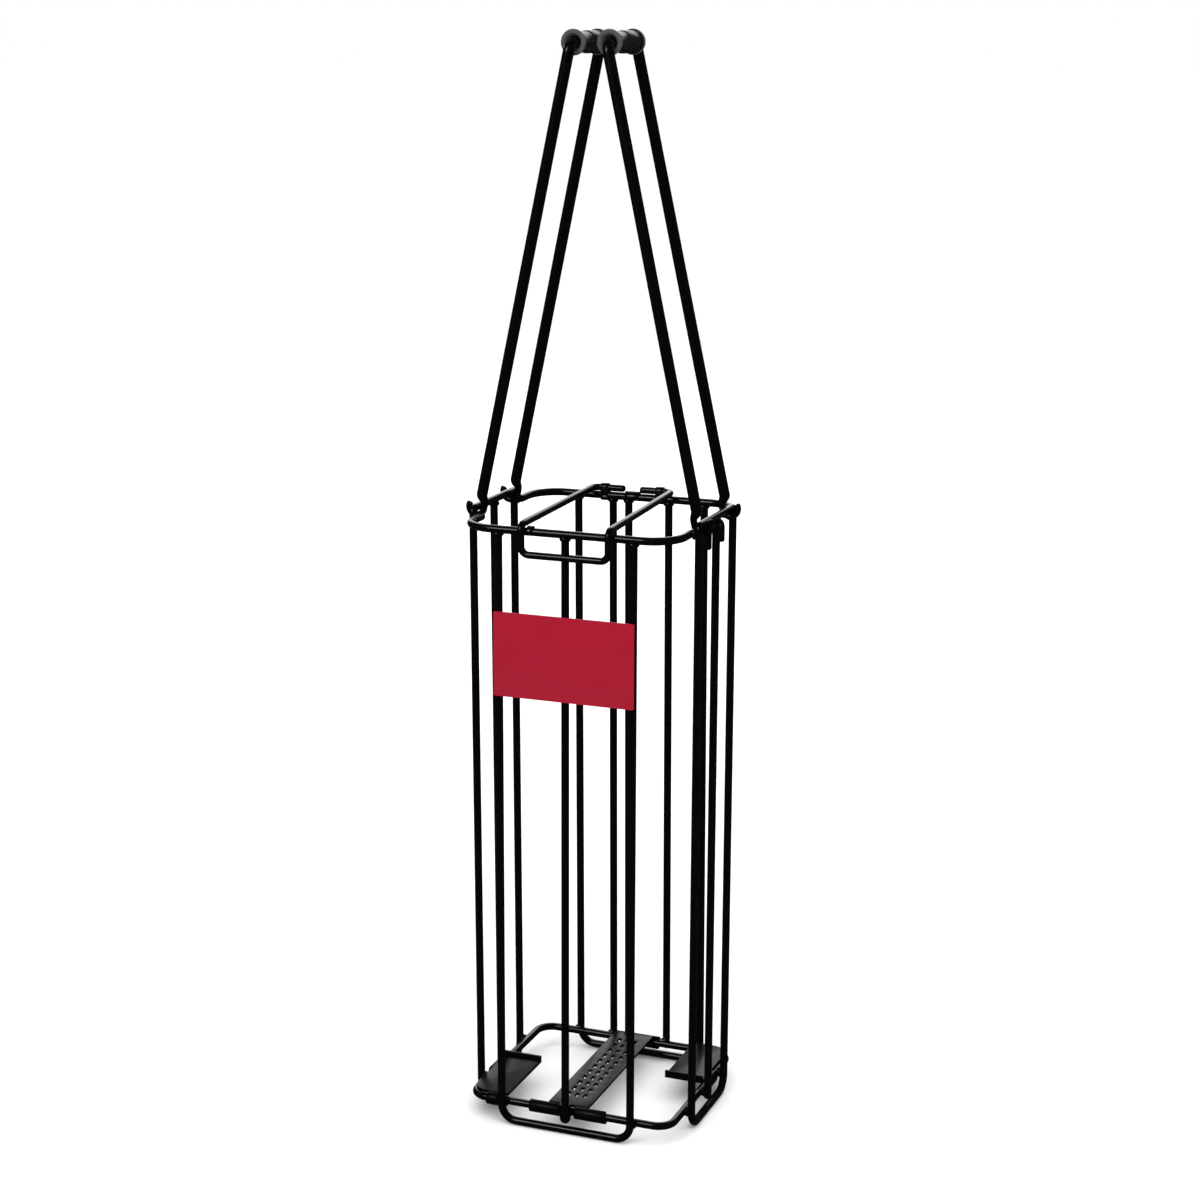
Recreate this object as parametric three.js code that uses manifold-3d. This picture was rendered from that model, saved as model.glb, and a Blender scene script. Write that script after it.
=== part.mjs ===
// Wire ball hopper: a free-standing steel-wire basket with a hinged wire lid and two carrying handles.
// Millimetres, +Z up, +X to the right of someone who faces the front, +Y to the rear.
// The origin is on the floor under the middle of the basket.
import * as THREE from "three";
import { mergeVertices } from "three/addons/utils/BufferGeometryUtils.js";
import Module from "manifold-3d";

const wasm = await Module();
wasm.setup();

// Wires and the gap that touching pieces keep
const basketWire = 5;
const lidWire = 4.5;
const bracketWire = 4;
const handleRod = 7;
const seatGap = 0.3;
const wireRadius = basketWire / 2;
const lidRadius = lidWire / 2;
const bracketRadius = bracketWire / 2;
const rodRadius = handleRod / 2;

// Basket
const frameTopX = 74.5;
const frameRise = 5;
const frameTopBend = 3;
const sideLegHalf = 32;
const rimHalfY = 62.5;
const rimCorner = 20;
const rimHeight = 389;
const ringHalfX = 68;
const ringHalfY = 60;
const ringCorner = 11;
const ringHeight = 12.8;
const frontLegInset = 24;
const rearLegInset = 24.6;
const rearInnerHalf = 19.2;
const rearShift = 1.7;
const rearCentrePlace = -6.7;
const floorBend = 10;

// Handles
const handleHalf = 24.5;
const eyeInset = 5.6;
const handleTop = 677;
const handleTopX = 11.5;
const handleBend = 6.5;
const eyeThick = 4.4;
const eyeWrap = 205;
const rodInset = 2;
const neckTop = 9;
const neckFootShare = 0.35;

// Grips
const gripLength = 41;
const flangeDiameter = 15.5;
const flangeThick = 2.4;
const discDiameter = 14.2;
const discThick = 1.6;
const grooveDiameter = 11;
const grooveWide = 1.5;
const gripFrontDiameter = 12.4;
const gripRearDiameter = 13.6;
const gripBoreClearance = 0.3;
const gripMouthDepth = 2.6;
const gripMouthDiameter = 10.8;

// Lid
const lidRearCentre = -4;
const lidRearHalf = 27;
const lidFrontCentre = 1.4;
const lidFrontHalf = 28.3;
const lidBend = 5;
const pullBend = 5;
const pullDrop = 13.3;
const saddleLength = 9.6;
const saddleThick = 1;
const saddleWrap = 230;
const clipLength = 5;
const clipThick = 1.2;
const clipInset = 0.6;
const stopLength = 3.6;

// Bracket under the right side frame's top
const bracketSpan = 25;
const bracketShift = -2;
const bracketDrop = 11.3;
const bracketBend = 5;

// Floor panels
const stripWidth = 27;
const panelThick = 2;
const tabThick = 1.5;
const tabNear = 5;
const tabFar = 26;
const tabClearance = 1;
const tabWrap = 200;
const slotLong = 5;
const slotWide = 2.2;
const slotPitchX = 5.6;
const slotPitchY = 9;
const slotMargin = 11;
const wingWidth = 26;
const wingFront = 4;
const wingRib = 3;
const wingSideTab = 14;
const wingSideTabPlace = 16;
const wingRearTab = 8;
const wingRearTabInset = 16;

// Front plate
const plateOverhang = 2;
const plateHeight = 53.2;
const plateThick = 1.5;
const plateDrop = 50.5;
const plateCorner = 1;

// Facets
const wireSides = 10;
const rodSides = 14;
const latheSides = 24;
const quarterSteps = 6;
const neckSteps = 4;
const domeShares = [0.25, 0.5, 0.75];

const black = new THREE.MeshStandardMaterial({ color: 0x1c1d1f, roughness: 0.38, metalness: 0.35 });
const darkPlastic = new THREE.MeshStandardMaterial({ color: 0x2b2c2e, roughness: 0.6, metalness: 0 });
const gripPlastic = new THREE.MeshStandardMaterial({ color: 0x3a3b3d, roughness: 0.55, metalness: 0 });
const crimson = new THREE.MeshStandardMaterial({ color: 0xa81e38, roughness: 0.45, metalness: 0.1 });

const hopper = new THREE.Group();

const point = (x, y, z) => new THREE.Vector3(x, y, z);

function place(name, geometry, material, parent = hopper) {
  const mesh = new THREE.Mesh(geometry, material);
  mesh.name = name;
  parent.add(mesh);
  return mesh;
}

// A line through corners, each rounded by its own radius. An open line keeps its two ends.
function roundedLine(corners, radii, closed = false) {
  const line = [];
  const count = corners.length;
  corners.forEach((corner, index) => {
    const isEnd = !closed && (index === 0 || index === count - 1);
    const radius = Array.isArray(radii) ? radii[index] : radii;
    if (isEnd || !radius) {
      line.push(corner.clone());
      return;
    }
    const before = corners[(index + count - 1) % count].clone().sub(corner).normalize();
    const after = corners[(index + 1) % count].clone().sub(corner).normalize();
    const turn = Math.PI - before.angleTo(after);
    const reach = radius * Math.tan(turn / 2);
    const centre = before.clone().add(after).normalize().multiplyScalar(radius / Math.cos(turn / 2)).add(corner);
    const start = corner.clone().addScaledVector(before, reach).sub(centre);
    const axis = start.clone().cross(corner.clone().addScaledVector(after, reach).sub(centre)).normalize();
    const steps = Math.max(2, Math.round((quarterSteps * turn) / (Math.PI / 2)));
    for (let step = 0; step <= steps; step++) {
      line.push(start.clone().applyAxisAngle(axis, (turn * step) / steps).add(centre));
    }
  });
  return line;
}

// A round solid swept along a line. radii gives each section's radius, and side says where the
// first section's corners start.
function sweep(line, radii, side, { closed = false, roundStart = false, roundEnd = false, sides = wireSides } = {}) {
  const count = line.length;
  const tangents = line.map((here, index) => {
    const before = closed ? line[(index + count - 1) % count] : line[Math.max(index - 1, 0)];
    const after = closed ? line[(index + 1) % count] : line[Math.min(index + 1, count - 1)];
    const arriving = here.clone().sub(before).normalize();
    return after.clone().sub(here).normalize().add(arriving).normalize();
  });
  const rings = [];
  const across = side.clone().addScaledVector(tangents[0], -side.dot(tangents[0])).normalize();
  line.forEach((centre, index) => {
    if (index > 0) {
      const turn = new THREE.Quaternion().setFromUnitVectors(tangents[index - 1], tangents[index]);
      across.applyQuaternion(turn);
    }
    rings.push({ centre, tangent: tangents[index], across: across.clone(), radius: radii[index] });
  });
  const domed = (ring, direction) =>
    domeShares.map((share) => {
      const angle = (Math.PI / 2) * share;
      const forward = ring.radius * Math.sin(angle) * direction;
      return {
        ...ring,
        centre: ring.centre.clone().addScaledVector(ring.tangent, forward),
        radius: ring.radius * Math.cos(angle),
      };
    });
  const first = rings[0];
  const last = rings[rings.length - 1];
  const tips = [first.centre.clone(), last.centre.clone()];
  if (roundStart) {
    rings.unshift(...domed(first, -1).reverse());
    tips[0].addScaledVector(first.tangent, -first.radius);
  }
  if (roundEnd) {
    rings.push(...domed(last, 1));
    tips[1].addScaledVector(last.tangent, last.radius);
  }
  const positions = [];
  for (const ring of rings) {
    const inward = ring.tangent.clone().cross(ring.across).normalize();
    for (let k = 0; k < sides; k++) {
      const angle = ((k + 0.5) / sides) * 2 * Math.PI;
      const spot = ring.centre
        .clone()
        .addScaledVector(inward, ring.radius * Math.cos(angle))
        .addScaledVector(ring.across, ring.radius * Math.sin(angle));
      positions.push(spot.x, spot.y, spot.z);
    }
  }
  const faces = [];
  const bands = closed ? rings.length : rings.length - 1;
  for (let band = 0; band < bands; band++) {
    const next = (band + 1) % rings.length;
    for (let k = 0; k < sides; k++) {
      const a = band * sides + k;
      const b = band * sides + ((k + 1) % sides);
      const c = next * sides + k;
      const d = next * sides + ((k + 1) % sides);
      faces.push(a, c, b, b, c, d);
    }
  }
  if (!closed) {
    const startTip = positions.length / 3;
    tips.forEach((tip) => positions.push(tip.x, tip.y, tip.z));
    const lastRing = (rings.length - 1) * sides;
    for (let k = 0; k < sides; k++) {
      const next = (k + 1) % sides;
      faces.push(startTip, k, next);
      faces.push(startTip + 1, lastRing + next, lastRing + k);
    }
  }
  const geometry = new THREE.BufferGeometry();
  geometry.setAttribute("position", new THREE.Float32BufferAttribute(positions, 3));
  geometry.setIndex(faces);
  geometry.computeVertexNormals();
  return geometry;
}

function wire(line, radius, side, options = {}) {
  return sweep(line, line.map(() => radius), side, options);
}

// Joins and cuts
function solidOf(geometry) {
  const bare = geometry.clone();
  bare.deleteAttribute("normal");
  bare.deleteAttribute("uv");
  const merged = mergeVertices(bare);
  return new wasm.Manifold(
    new wasm.Mesh({
      numProp: 3,
      vertProperties: merged.attributes.position.array,
      triVerts: new Uint32Array(merged.index.array),
    }),
  );
}

function geometryOf(solid) {
  const { numProp, vertProperties, triVerts } = solid.getMesh();
  const positions = [];
  for (const vertex of triVerts) {
    const start = vertex * numProp;
    positions.push(vertProperties[start], vertProperties[start + 1], vertProperties[start + 2]);
  }
  const geometry = new THREE.BufferGeometry();
  geometry.setAttribute("position", new THREE.Float32BufferAttribute(positions, 3));
  geometry.computeVertexNormals();
  return geometry;
}

const joined = (geometries) => geometryOf(geometries.map(solidOf).reduce((whole, piece) => whole.add(piece)));

// Rims. Each is a C of wire whose two ends lie against the inner sides of the side frames' legs.
const rimHalfX = frameTopX - basketWire - seatGap;
const frameTopHeight = rimHeight + frameRise;

function rim(name, sign) {
  const corners = [
    point(-rimHalfX, sign * sideLegHalf, rimHeight),
    point(-rimHalfX, sign * rimHalfY, rimHeight),
    point(rimHalfX, sign * rimHalfY, rimHeight),
    point(rimHalfX, sign * sideLegHalf, rimHeight),
  ];
  const options = { roundStart: true, roundEnd: true };
  place(name, wire(roundedLine(corners, rimCorner), wireRadius, point(0, 0, 1), options), black);
}

function bottomRing() {
  const corners = [
    point(ringHalfX, -ringHalfY, ringHeight),
    point(ringHalfX, ringHalfY, ringHeight),
    point(-ringHalfX, ringHalfY, ringHeight),
    point(-ringHalfX, -ringHalfY, ringHeight),
  ];
  const line = roundedLine(corners, ringCorner, true);
  place("bottom_ring", wire(line, wireRadius, point(0, 0, 1), { closed: true }), black);
}

// Walls. The wires stand outside the bottom ring; the front and rear ones end under the rims.
const legTop = rimHeight - wireRadius - seatGap;
const footOffset = basketWire + seatGap;
const footLevel = wireRadius;
const wallFootY = ringHalfY + footOffset;
const wallFootX = ringHalfX + footOffset;
const frontLegHalf = ringHalfX - frontLegInset;
const rearLegHalf = ringHalfX - rearLegInset;

// A wall's depth at a height, from its depth at the rim and at the ring
function wallAt(top, foot, height) {
  return foot + ((top - foot) * (height - ringHeight)) / (rimHeight - ringHeight);
}

function wallPoint(isSide, sign, along, height) {
  const depth = isSide ? wallAt(frameTopX, wallFootX, height) : wallAt(rimHalfY, wallFootY, height);
  return isSide ? point(sign * depth, along, height) : point(along, sign * depth, height);
}

function wallU(name, sign, half, shift) {
  const corners = [
    wallPoint(false, sign, shift - half, legTop),
    wallPoint(false, sign, shift - half, footLevel),
    wallPoint(false, sign, shift + half, footLevel),
    wallPoint(false, sign, shift + half, legTop),
  ];
  place(name, wire(roundedLine(corners, floorBend), wireRadius, point(0, 1, 0)), black);
}

// A side frame is one closed loop: two legs, a floor run, and a top run that carries a handle.
function sideFrame(name, sign) {
  const corners = [
    wallPoint(true, sign, -sideLegHalf, frameTopHeight),
    wallPoint(true, sign, -sideLegHalf, footLevel),
    wallPoint(true, sign, sideLegHalf, footLevel),
    wallPoint(true, sign, sideLegHalf, frameTopHeight),
  ];
  const line = roundedLine(corners, [frameTopBend, floorBend, floorBend, frameTopBend], true);
  place(name, wire(line, wireRadius, point(1, 0, 0), { closed: true }), black);
}

function wallCentre(name, isSide, sign, along, top) {
  const line = [wallPoint(isSide, sign, along, top), wallPoint(isSide, sign, along, ringHeight - wireRadius)];
  const side = isSide ? point(1, 0, 0) : point(0, 1, 0);
  place(name, wire(line, wireRadius, side, { roundEnd: true }), black);
}

const underFrame = frameTopHeight - wireRadius - seatGap;
const bracketTop = underFrame - bracketRadius;

function walls() {
  sideFrame("left_side_frame", -1);
  sideFrame("right_side_frame", 1);
  wallU("front_u_wire", -1, frontLegHalf, 0);
  wallU("rear_u_wire", 1, rearLegHalf, rearShift);
  wallCentre("front_centre_wire", false, -1, 0, legTop);
  wallCentre("rear_centre_wire", false, 1, rearCentrePlace, legTop);
  wallCentre("rear_inner_wire_left", false, 1, rearShift - rearInnerHalf, legTop);
  wallCentre("rear_inner_wire_right", false, 1, rearShift + rearInnerHalf, legTop);
  wallCentre("left_centre_wire", true, -1, 0, underFrame);
  wallCentre("right_centre_wire", true, 1, 0, bracketTop - bracketRadius - seatGap);
}

// A small inverted U of wire under the right side frame's top run, with two free prongs
function bracket() {
  const low = bracketTop - bracketDrop;
  const corners = [
    wallPoint(true, 1, bracketShift - bracketSpan / 2, low),
    wallPoint(true, 1, bracketShift - bracketSpan / 2, bracketTop),
    wallPoint(true, 1, bracketShift + bracketSpan / 2, bracketTop),
    wallPoint(true, 1, bracketShift + bracketSpan / 2, low),
  ];
  const options = { roundStart: true, roundEnd: true };
  const line = roundedLine(corners, bracketBend);
  place("right_bracket", wire(line, bracketRadius, point(1, 0, 0), options), black);
}

// Handles. Each is one rod that stands a little inside its pivot. Its ends are drawn thin through a
// short neck, and curl from the inside under the side frame's top run and up again outside it.
const eyePlace = sideLegHalf - eyeInset;
const eyeRadius = wireRadius + seatGap + eyeThick / 2;
const pivotX = wallAt(frameTopX, wallFootX, frameTopHeight);
const topSpread = pivotX - handleTopX;
const topRise = handleTop - frameTopHeight;
const handleReach = Math.sqrt(topSpread ** 2 + topRise ** 2 - rodInset ** 2);
const lean = Math.atan2(topSpread, topRise) - Math.atan2(rodInset, handleReach);

// A handle's end, from the top of its neck to the curl's free tip: across, up and radius
function handleEnd() {
  const end = [];
  for (let step = 1; step <= neckSteps; step++) {
    const share = step / neckSteps;
    const ease = (1 - Math.cos(Math.PI * share)) / 2;
    const across = THREE.MathUtils.lerp(rodInset, eyeRadius, ease);
    const up = neckTop * THREE.MathUtils.lerp(1, neckFootShare, share);
    end.push([-across, up, THREE.MathUtils.lerp(rodRadius, eyeThick / 2, ease)]);
  }
  const steps = Math.round((eyeWrap / 90) * quarterSteps);
  for (let step = 0; step <= steps; step++) {
    const angle = THREE.MathUtils.degToRad((-eyeWrap * step) / steps);
    end.push([-eyeRadius * Math.cos(angle), eyeRadius * Math.sin(angle), eyeThick / 2]);
  }
  return end;
}

function handleGeometry() {
  const end = handleEnd();
  const corners = [
    point(-rodInset, -eyePlace, neckTop),
    point(-rodInset, -handleHalf, handleReach),
    point(-rodInset, handleHalf, handleReach),
    point(-rodInset, eyePlace, neckTop),
  ];
  const bow = roundedLine(corners, handleBend);
  const nearEnd = end.map(([across, up]) => point(across, -eyePlace, up)).reverse();
  const farEnd = end.map(([across, up]) => point(across, eyePlace, up));
  const endRadii = end.map(([, , radius]) => radius);
  const line = [...nearEnd, ...bow, ...farEnd];
  const radii = [...[...endRadii].reverse(), ...bow.map(() => rodRadius), ...endRadii];
  return sweep(line, radii, point(0, 1, 0), { roundStart: true, roundEnd: true, sides: rodSides });
}

// The grip's outline, from the axis outwards, with a mouth at each end that clears the rod's bends
function gripGeometry() {
  const half = gripLength / 2;
  const bore = rodRadius + gripBoreClearance;
  const mouth = gripMouthDiameter / 2;
  const flange = flangeDiameter / 2;
  const disc = discDiameter / 2;
  const groove = grooveDiameter / 2;
  const outline = [
    [bore, -half + gripMouthDepth],
    [mouth, -half],
    [flange, -half],
    [flange, -half + flangeThick],
    [groove, -half + flangeThick],
    [groove, -half + flangeThick + grooveWide],
    [disc, -half + flangeThick + grooveWide],
    [disc, -half + flangeThick + grooveWide + discThick],
    [gripFrontDiameter / 2, -half + flangeThick + grooveWide + discThick],
    [gripFrontDiameter / 2, 0],
    [gripRearDiameter / 2, 0],
    [gripRearDiameter / 2, half - flangeThick - grooveWide],
    [groove, half - flangeThick - grooveWide],
    [groove, half - flangeThick],
    [flange, half - flangeThick],
    [flange, half],
    [mouth, half],
    [bore, half - gripMouthDepth],
    [bore, -half + gripMouthDepth],
  ];
  return new THREE.LatheGeometry(outline.map(([radius, along]) => new THREE.Vector2(radius, along)), latheSides);
}

function handles() {
  for (const [side, sign] of [
    ["left", -1],
    ["right", 1],
  ]) {
    const pivot = new THREE.Group();
    pivot.position.set(sign * pivotX, 0, frameTopHeight);
    pivot.rotation.y = -sign * lean;
    const mirror = new THREE.Group();
    mirror.rotation.z = sign > 0 ? 0 : Math.PI;
    pivot.add(mirror);
    place(`${side}_handle`, handleGeometry(), black, mirror);
    const grip = place(`${side}_grip`, gripGeometry(), gripPlastic, pivot);
    grip.position.set(-sign * rodInset, 0, handleReach);
    hopper.add(pivot);
  }
}

// Lid. Two bars lie across the rim, join in a pull in front and turn inwards over the rear rim.
const lidLevel = rimHeight + wireRadius + seatGap + lidRadius;
const pullDepth = rimHalfY + wireRadius + seatGap + lidRadius;

function lid() {
  const rearEnd = saddleLength / 2 + seatGap + lidRadius;
  const half = (sign) => [
    point(lidRearCentre + sign * rearEnd, rimHalfY, lidLevel),
    point(lidRearCentre + sign * lidRearHalf, rimHalfY, lidLevel),
    point(lidFrontCentre + sign * lidFrontHalf, -pullDepth, lidLevel),
    point(lidFrontCentre + sign * lidFrontHalf, -pullDepth, rimHeight - pullDrop),
  ];
  const corners = [...half(1), ...half(-1).reverse()];
  const bends = [0, lidBend, lidWire, pullBend];
  const line = roundedLine(corners, [...bends, ...[...bends].reverse()]);
  place("lid_wire", wire(line, lidRadius, point(0, 0, 1), { roundStart: true, roundEnd: true }), black);
}

// A strap with round ends that goes round the rear rim and the lid wire above it
function clipShape() {
  const outer = new THREE.Shape();
  const lower = wireRadius + seatGap;
  const outerRadius = lower + clipThick;
  const rise = lidLevel - rimHeight;
  outer.absarc(0, 0, outerRadius, Math.PI, 2 * Math.PI, false);
  outer.absarc(0, rise, outerRadius, 0, Math.PI, false);
  const inner = new THREE.Path();
  inner.absarc(0, 0, lower, Math.PI, 2 * Math.PI, false);
  inner.absarc(0, rise, lower, 0, Math.PI, false);
  outer.holes.push(inner);
  return outer;
}

// An extruded shape whose outline lies in the YZ plane, centred on X
function alongX(shape, length) {
  const settings = { depth: length, bevelEnabled: false, curveSegments: quarterSteps };
  const geometry = new THREE.ExtrudeGeometry(shape, settings);
  geometry.translate(0, 0, -length / 2);
  geometry.rotateX(Math.PI / 2);
  geometry.rotateZ(Math.PI / 2);
  return geometry;
}

// A saddle over a rim wire, open at the bottom
function saddleShape() {
  const inner = wireRadius + seatGap;
  const outer = inner + saddleThick;
  const halfWrap = THREE.MathUtils.degToRad(saddleWrap / 2);
  const start = Math.PI / 2 - halfWrap;
  const end = Math.PI / 2 + halfWrap;
  const shape = new THREE.Shape();
  shape.absarc(0, 0, outer, start, end, false);
  shape.absarc(0, 0, inner, end, start, true);
  shape.closePath();
  return shape;
}

function lidFittings() {
  const keeper = place("lid_keeper", alongX(saddleShape(), saddleLength), black);
  keeper.position.set(lidRearCentre, rimHalfY, rimHeight);
  const stopPlace = lidFrontCentre - lidFrontHalf + lidRadius + seatGap + stopLength / 2;
  const stop = place("lid_stop", alongX(saddleShape(), stopLength), black);
  stop.position.set(stopPlace, -rimHalfY, rimHeight);
  const clipPlace = lidRearHalf - lidBend - clipInset - clipLength / 2;
  for (const [side, sign] of [
    ["left", -1],
    ["right", 1],
  ]) {
    const clip = place(`${side}_lid_clip`, alongX(clipShape(), clipLength), black);
    clip.position.set(lidRearCentre + sign * clipPlace, rimHalfY, rimHeight);
  }
}

// A hooked tab: an arc strap round a ring wire, open towards the inside of the basket
function tabShape() {
  const inner = wireRadius + seatGap;
  const outer = inner + tabThick;
  const start = Math.PI / 2;
  const end = start + THREE.MathUtils.degToRad(tabWrap);
  const shape = new THREE.Shape();
  shape.absarc(0, 0, outer, start, end, false);
  shape.absarc(0, 0, inner, end, start, true);
  shape.closePath();
  return shape;
}

function tab(length, angle, x, y) {
  const geometry = alongX(tabShape(), length);
  geometry.rotateZ(angle);
  geometry.translate(x, y, ringHeight);
  return geometry;
}

function box(lowX, highX, lowY, highY, lowZ, highZ) {
  const geometry = new THREE.BoxGeometry(highX - lowX, highY - lowY, highZ - lowZ);
  geometry.translate((lowX + highX) / 2, (lowY + highY) / 2, (lowZ + highZ) / 2);
  return geometry;
}

const panelLow = ringHeight + wireRadius + seatGap;
const panelHigh = panelLow + panelThick;

function centreStrip() {
  const half = stripWidth / 2;
  const pieces = [box(-half, half, -ringHalfY, ringHalfY, panelLow, panelHigh)];
  for (const side of [-1, 1]) {
    pieces.push(tab(tabFar - tabNear, 0, (side * (tabNear + tabFar)) / 2, -ringHalfY));
  }
  const clear = wireRadius + tabClearance;
  const rearTabLeft = rearCentrePlace + clear;
  const rearTabRight = rearShift + rearInnerHalf - clear;
  pieces.push(tab(rearTabRight - rearTabLeft, Math.PI, (rearTabLeft + rearTabRight) / 2, ringHalfY));
  let solid = pieces.map(solidOf).reduce((whole, piece) => whole.add(piece));
  const usable = 2 * (ringHalfY - slotMargin) - slotLong;
  const rows = Math.floor(usable / slotPitchY);
  for (let row = 0; row <= rows; row++) {
    for (const column of [-1, 0, 1]) {
      const x = column * slotPitchX;
      const y = (row - rows / 2) * slotPitchY;
      const reach = slotWide / 2;
      const cut = box(x - reach, x + reach, y - slotLong / 2, y + slotLong / 2, panelLow - tabThick, panelHigh + tabThick);
      solid = solid.subtract(solidOf(cut));
    }
  }
  place("centre_floor_strip", geometryOf(solid), darkPlastic);
}

// A corner panel that lies on two ring wires, with a raised rib along its front edge
function wing(name, sign) {
  const outline = new THREE.Shape();
  const wingInner = ringHalfX - wingWidth;
  outline.moveTo(wingInner, wingFront);
  outline.lineTo(ringHalfX, wingFront);
  outline.absarc(ringHalfX - ringCorner, ringHalfY - ringCorner, ringCorner, 0, Math.PI / 2, false);
  outline.lineTo(wingInner, ringHalfY);
  outline.closePath();
  const sheet = new THREE.ExtrudeGeometry(outline, {
    depth: panelThick,
    bevelEnabled: false,
    curveSegments: quarterSteps,
  });
  sheet.translate(0, 0, panelLow);
  const pieces = [
    sheet,
    box(wingInner, ringHalfX, wingFront, wingFront + panelThick, panelLow, panelHigh + wingRib),
    tab(wingSideTab, Math.PI / 2, ringHalfX, wingSideTabPlace),
    tab(wingRearTab, Math.PI, ringHalfX - wingRearTabInset, ringHalfY),
  ];
  place(name, joined(pieces), darkPlastic).rotation.z = sign > 0 ? 0 : Math.PI;
}

function frontPlate() {
  const halfX = frontLegHalf + plateOverhang;
  const halfZ = plateHeight / 2;
  const shape = new THREE.Shape();
  shape.absarc(halfX - plateCorner, -halfZ + plateCorner, plateCorner, -Math.PI / 2, 0, false);
  shape.absarc(halfX - plateCorner, halfZ - plateCorner, plateCorner, 0, Math.PI / 2, false);
  shape.absarc(-halfX + plateCorner, halfZ - plateCorner, plateCorner, Math.PI / 2, Math.PI, false);
  shape.absarc(-halfX + plateCorner, -halfZ + plateCorner, plateCorner, Math.PI, 1.5 * Math.PI, false);
  const geometry = new THREE.ExtrudeGeometry(shape, {
    depth: plateThick,
    bevelEnabled: false,
    curveSegments: quarterSteps,
  });
  const slope = Math.atan2(wallFootY - rimHalfY, rimHeight - ringHeight);
  geometry.rotateX(Math.PI / 2 - slope);
  const middle = rimHeight - plateDrop - halfZ;
  const wireFace = wallAt(rimHalfY, wallFootY, middle) + wireRadius;
  place("front_plate", geometry, crimson).position.set(0, -wireFace - seatGap, middle);
}

rim("front_rim", -1);
rim("rear_rim", 1);
bottomRing();
walls();
handles();
lid();
lidFittings();
bracket();
centreStrip();
wing("right_floor_wing", 1);
wing("left_floor_wing", -1);
frontPlate();

export default hopper;
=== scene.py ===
# %% [markdown]
# # Wire hopper
# A tall, narrow basket of black coated wire is filled through the gaps in its floor.
# A wire lid closes it, and two long handles meet above it in turning grips.
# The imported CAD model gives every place. Here each of its nodes gets a finer piece with a real finish.

import math

import bmesh
import bpy
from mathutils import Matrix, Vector


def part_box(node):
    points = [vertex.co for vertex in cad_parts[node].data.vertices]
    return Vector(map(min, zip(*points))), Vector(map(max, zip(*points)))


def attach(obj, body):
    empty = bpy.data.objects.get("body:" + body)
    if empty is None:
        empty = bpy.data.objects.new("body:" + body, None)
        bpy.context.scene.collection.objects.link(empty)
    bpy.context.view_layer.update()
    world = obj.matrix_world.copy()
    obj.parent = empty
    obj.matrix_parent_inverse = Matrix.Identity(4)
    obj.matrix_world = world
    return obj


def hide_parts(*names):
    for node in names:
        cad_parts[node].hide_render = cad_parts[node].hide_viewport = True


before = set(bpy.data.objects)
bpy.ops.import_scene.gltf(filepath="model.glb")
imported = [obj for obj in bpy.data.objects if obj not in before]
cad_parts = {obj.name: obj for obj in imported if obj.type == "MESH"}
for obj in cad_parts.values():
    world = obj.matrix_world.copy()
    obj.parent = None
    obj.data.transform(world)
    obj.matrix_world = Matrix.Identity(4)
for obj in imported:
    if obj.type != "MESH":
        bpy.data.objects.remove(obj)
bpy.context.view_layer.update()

# %% [markdown]
# ## Sizes
# All lengths are metres. The wires are round rods of four sizes, and welded wires lie a hair apart, as
# they do in the CAD model. The rims' and the ring's heights and the grips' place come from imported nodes.

# %% Wires and walls
BASKET_WIRE = 0.005
LID_WIRE = 0.0045
BRACKET_WIRE = 0.004
HANDLE_ROD = 0.007
SEAT = 0.0003
WIRE_RADIUS = BASKET_WIRE / 2
LID_RADIUS = LID_WIRE / 2
BRACKET_RADIUS = BRACKET_WIRE / 2
ROD_RADIUS = HANDLE_ROD / 2


def middle(node, axis):
    """The middle of a node's box along X, Y or Z."""
    low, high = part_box(node)
    return (low[axis] + high[axis]) / 2


rim_height = middle("front_rim", 2)
ring_height = middle("bottom_ring", 2)
FRAME_TOP_X = 0.0745
FRAME_RISE = 0.005
FRAME_TOP_BEND = 0.003
SIDE_LEG_HALF = 0.032
RIM_HALF_Y = 0.0625
RIM_CORNER = 0.02
RING_HALF_X = 0.068
RING_HALF_Y = 0.060
RING_CORNER = 0.011
FLOOR_BEND = 0.01
frame_top = rim_height + FRAME_RISE
rim_half_x = FRAME_TOP_X - BASKET_WIRE - SEAT
wall_foot_x = RING_HALF_X + BASKET_WIRE + SEAT
wall_foot_y = RING_HALF_Y + BASKET_WIRE + SEAT
leg_top = rim_height - WIRE_RADIUS - SEAT
print("rim", round(rim_height, 4), "ring", round(ring_height, 4), "side frames", round(frame_top, 4))

# %% [markdown]
# ## Working by hand in code
# Each modelling step starts from one chosen object with nothing else selected, because an operator acts
# on all that is selected. Vertices, edges and faces are picked by their place, as a click would pick them.

# %% Choosing objects and picking parts of them
NEAR = 0.00002
DOUBLES = NEAR / 20


def drop_all():
    """Leaves edit mode and deselects everything."""
    if bpy.context.mode != "OBJECT":
        bpy.ops.object.mode_set(mode="OBJECT")
    bpy.ops.object.select_all(action="DESELECT")


def take(piece):
    """Makes one object the only selected and active one."""
    drop_all()
    bpy.context.view_layer.objects.active = piece
    piece.select_set(True)
    return piece


def edit(piece):
    """Opens one object in edit mode."""
    take(piece)
    bpy.ops.object.mode_set(mode="EDIT")


def pick(piece, kind, wanted):
    """Selects the verts, edges or faces that a test accepts, and says how many."""
    bpy.ops.mesh.select_mode(type={"verts": "VERT", "edges": "EDGE", "faces": "FACE"}[kind])
    bpy.ops.mesh.select_all(action="DESELECT")
    mesh = bmesh.from_edit_mesh(piece.data)
    chosen = [part for part in getattr(mesh, kind) if wanted(part)]
    for part in chosen:
        part.select_set(True)
    bmesh.update_edit_mesh(piece.data)
    return len(chosen)


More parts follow.
